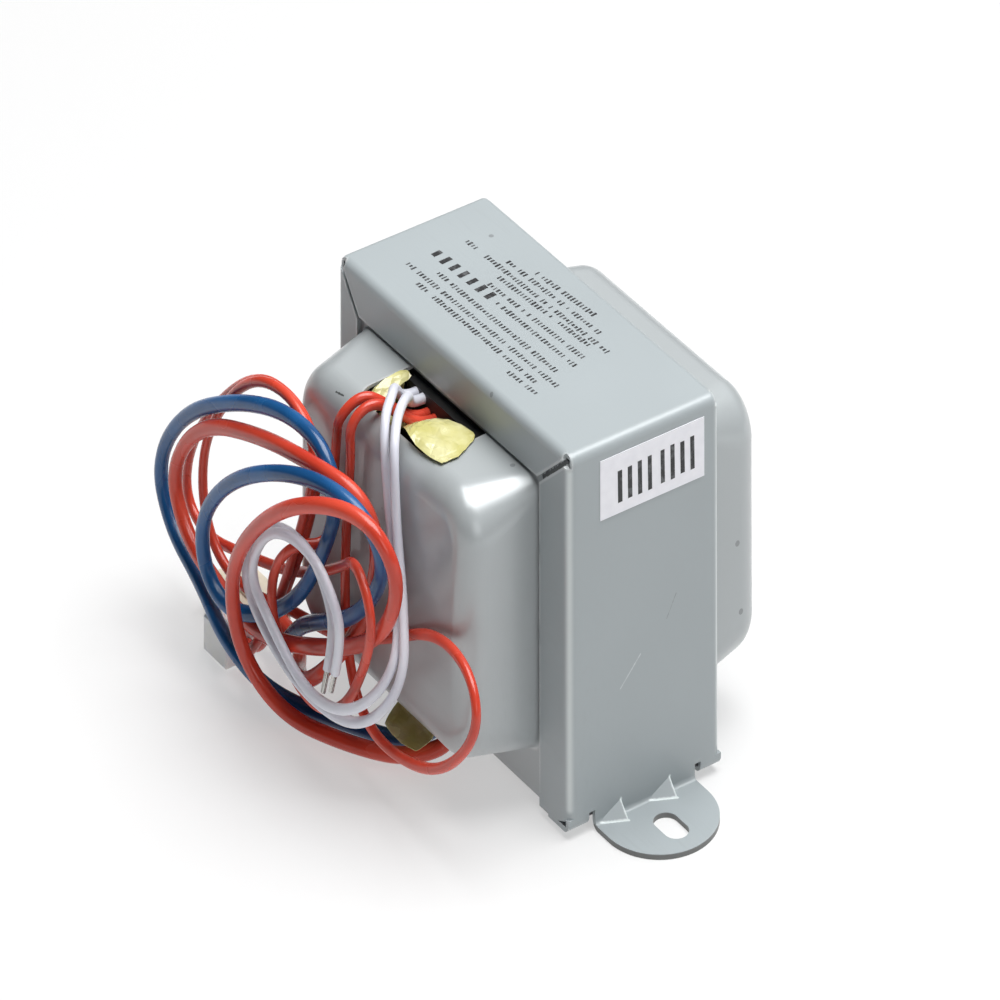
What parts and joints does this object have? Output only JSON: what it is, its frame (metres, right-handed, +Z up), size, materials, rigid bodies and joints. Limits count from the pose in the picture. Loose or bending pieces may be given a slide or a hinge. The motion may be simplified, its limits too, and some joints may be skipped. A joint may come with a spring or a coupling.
{
  "type": "electrical transformer",
  "caption": "Small channel-frame mains transformer with drawn end bells, slotted mounting feet and bundled flying leads ending in nylon connectors and bare tinned ends.",
  "frame": {"origin": "on the mounting surface, below the middle of the core and midway between the two feet", "axes": "+X from the core to the foot under the paper label, -Y out of the bell that the leads leave, +Z up from the mounting surface"},
  "size_m": [0.106, 0.0753, 0.0576],
  "materials": {
    "frame_paint": "satin",
    "bell_paint": "gloss",
    "core_steel": "matte",
    "bobbin_nylon": "matte",
    "copper_wire": "gloss",
    "coil_tape": "gloss",
    "label_paper": "matte",
    "orange_insulation": "satin",
    "blue_insulation": "satin",
    "white_insulation": "satin",
    "tinned_wire": "satin",
    "white_nylon": "satin",
    "beige_nylon": "satin"
  },
  "bodies": {
    "root": {"channel_frame": "frame_paint", "front_bell": "bell_paint", "rear_bell": "bell_paint", "e_laminations": "core_steel", "i_laminations": "core_steel", "bobbin": "bobbin_nylon", "primary_winding": "copper_wire", "primary_tape": "coil_tape", "inner_secondary": "copper_wire", "secondary_layer_tape": "coil_tape", "outer_secondary": "copper_wire", "secondary_outer_tape": "coil_tape", "side_label": "label_paper", "left_tape": "coil_tape", "right_tape": "coil_tape", "lower_tape": "coil_tape", "orange_primary_lead": "orange_insulation", "blue_primary_lead": "blue_insulation", "orange_ring_lead": "orange_insulation", "orange_hanging_lead": "orange_insulation", "white_outer_lead": "white_insulation", "white_inner_lead": "white_insulation", "white_outer_tip": "tinned_wire", "white_inner_tip": "tinned_wire", "front_connector": "white_nylon", "rear_connector": "beige_nylon", "front_contact_1": "tinned_wire", "front_contact_2": "tinned_wire", "rear_contact_1": "tinned_wire", "rear_contact_2": "tinned_wire"}
  },
  "joints": []
}
